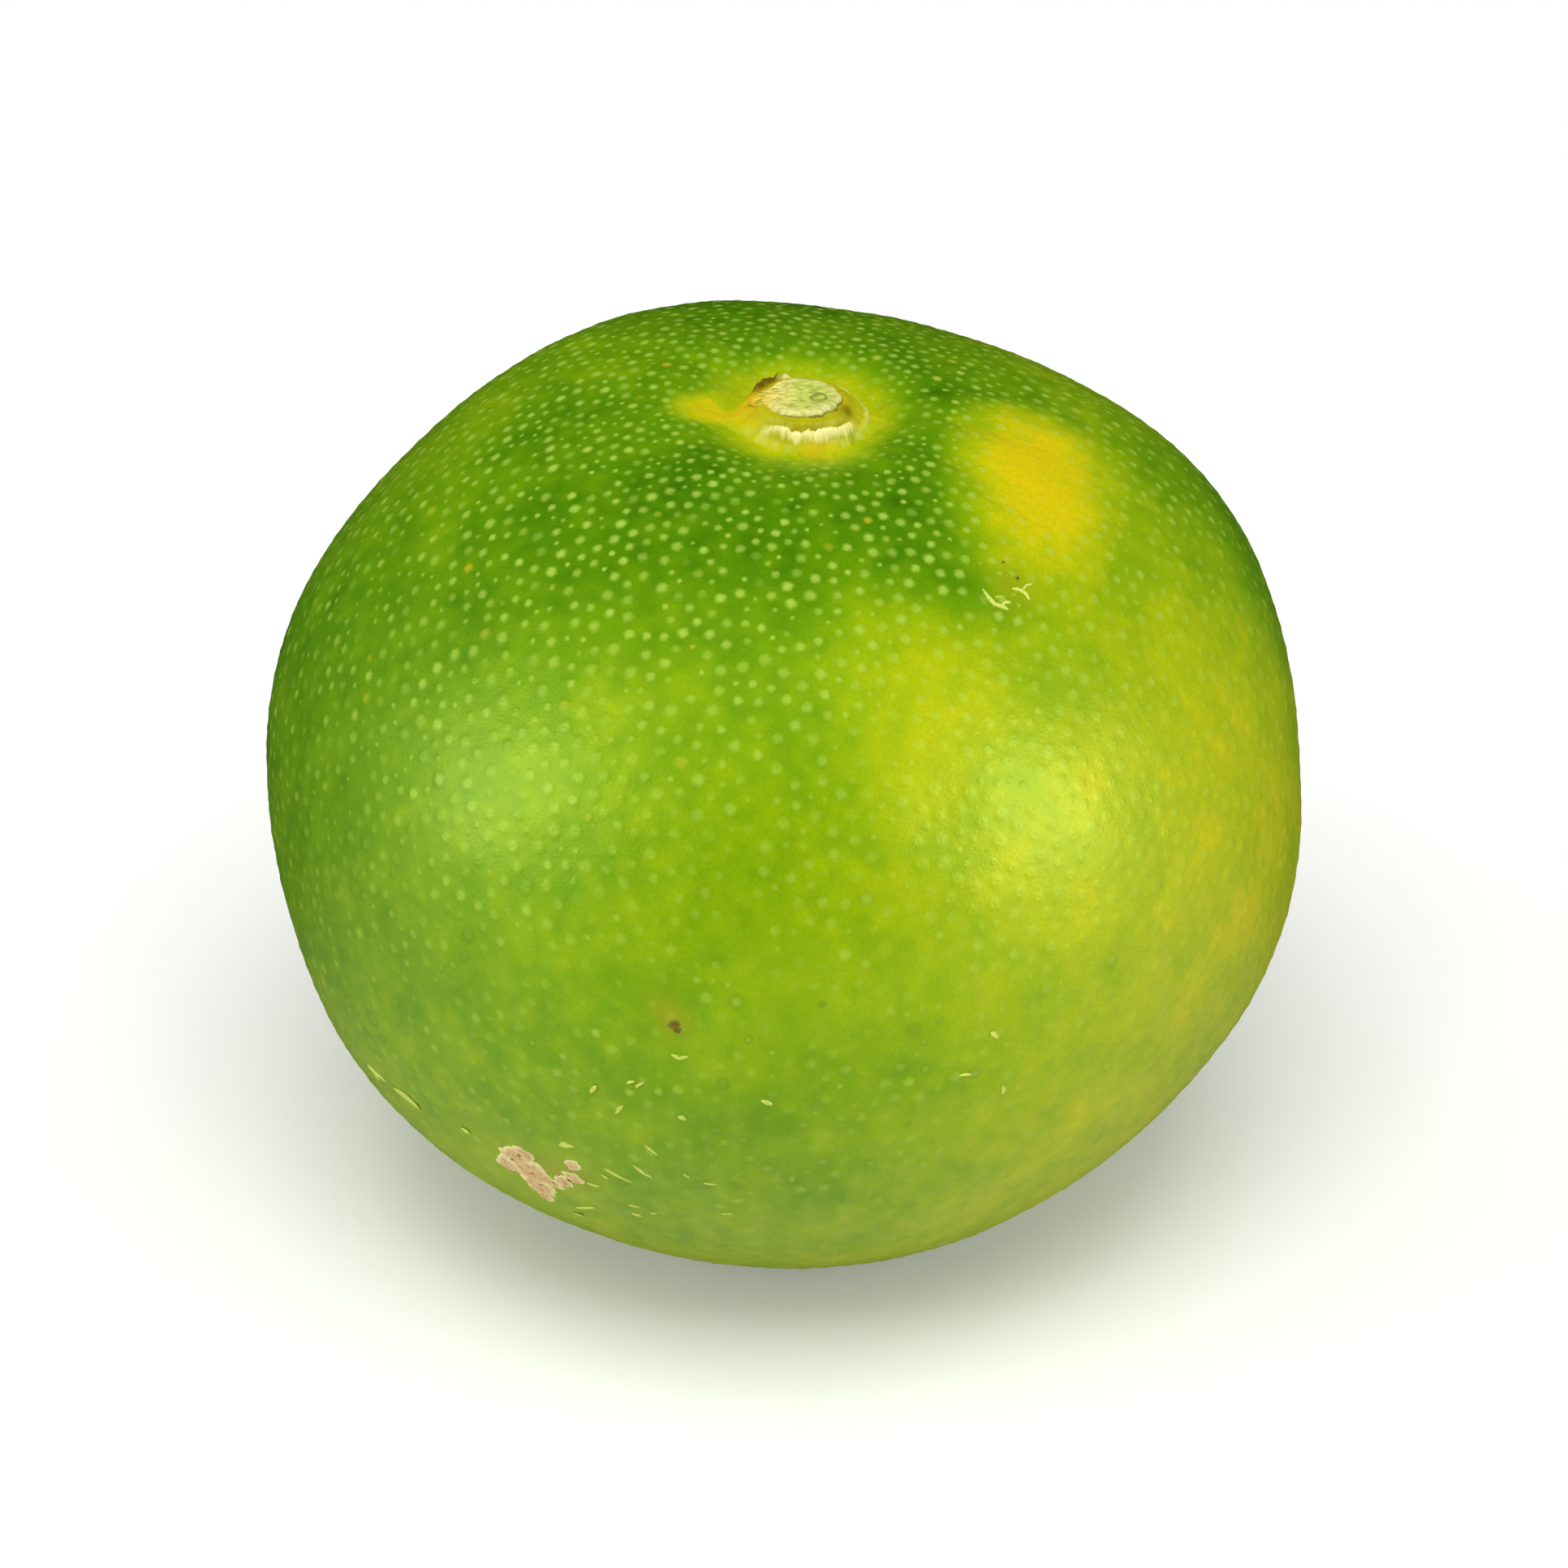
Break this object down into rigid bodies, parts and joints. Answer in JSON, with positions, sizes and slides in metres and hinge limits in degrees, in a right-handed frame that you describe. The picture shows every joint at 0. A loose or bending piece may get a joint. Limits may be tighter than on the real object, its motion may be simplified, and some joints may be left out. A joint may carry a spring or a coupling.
{
  "type": "satsuma mandarin",
  "caption": "Whole early-season satsuma mandarin, a squat loose-skinned citrus fruit with its dry calyx and the stub of its stalk.",
  "frame": {"origin": "on the surface that the fruit rests on, under the middle of its outline", "axes": "+Z from the blossom end up to the stem end, -Y the side with the yellow patches"},
  "size_m": [0.064, 0.0638, 0.0554],
  "materials": {
    "rind": "thin waxy rind with pale oil glands, semi-gloss",
    "sepals": "dry fibrous olive skin, matt",
    "stalk_pith": "torn pale pith, matt"
  },
  "bodies": {
    "root": {"fruit": "rind", "calyx": "sepals", "stem_stub": "stalk_pith"}
  },
  "joints": []
}
